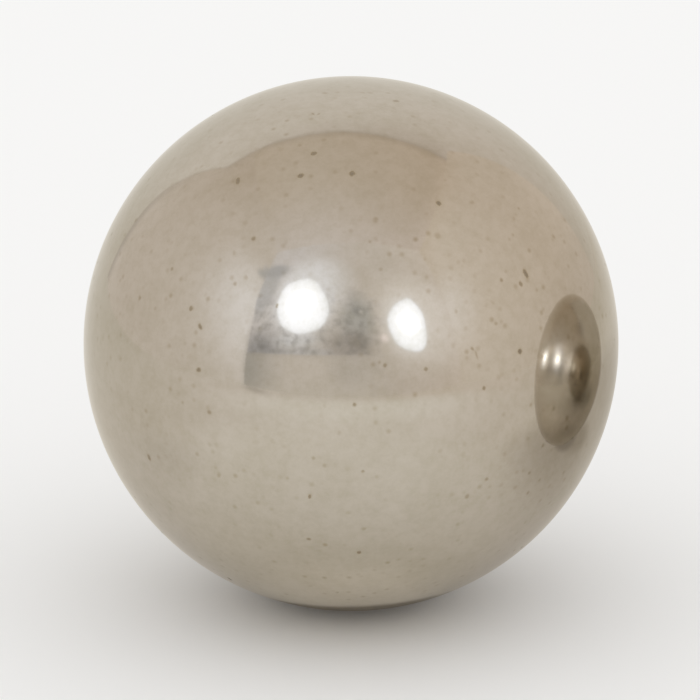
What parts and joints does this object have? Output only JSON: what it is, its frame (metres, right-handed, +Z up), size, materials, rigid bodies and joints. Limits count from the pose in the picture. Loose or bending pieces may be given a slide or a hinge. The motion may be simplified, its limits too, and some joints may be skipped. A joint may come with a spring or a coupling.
{
  "type": "steel ball",
  "caption": "Solid polished steel ball with fine rust specks and pits; it rolls freely and seats in a cup, ring or race.",
  "frame": {"origin": "centre of the ball", "axes": "+Z up; every axis through the centre is an axis of symmetry, so +X and +Y are free"},
  "size_m": [0.0254, 0.0254, 0.0254],
  "materials": {
    "steel": "polished"
  },
  "bodies": {
    "root": {"ball": "steel"}
  },
  "joints": []
}
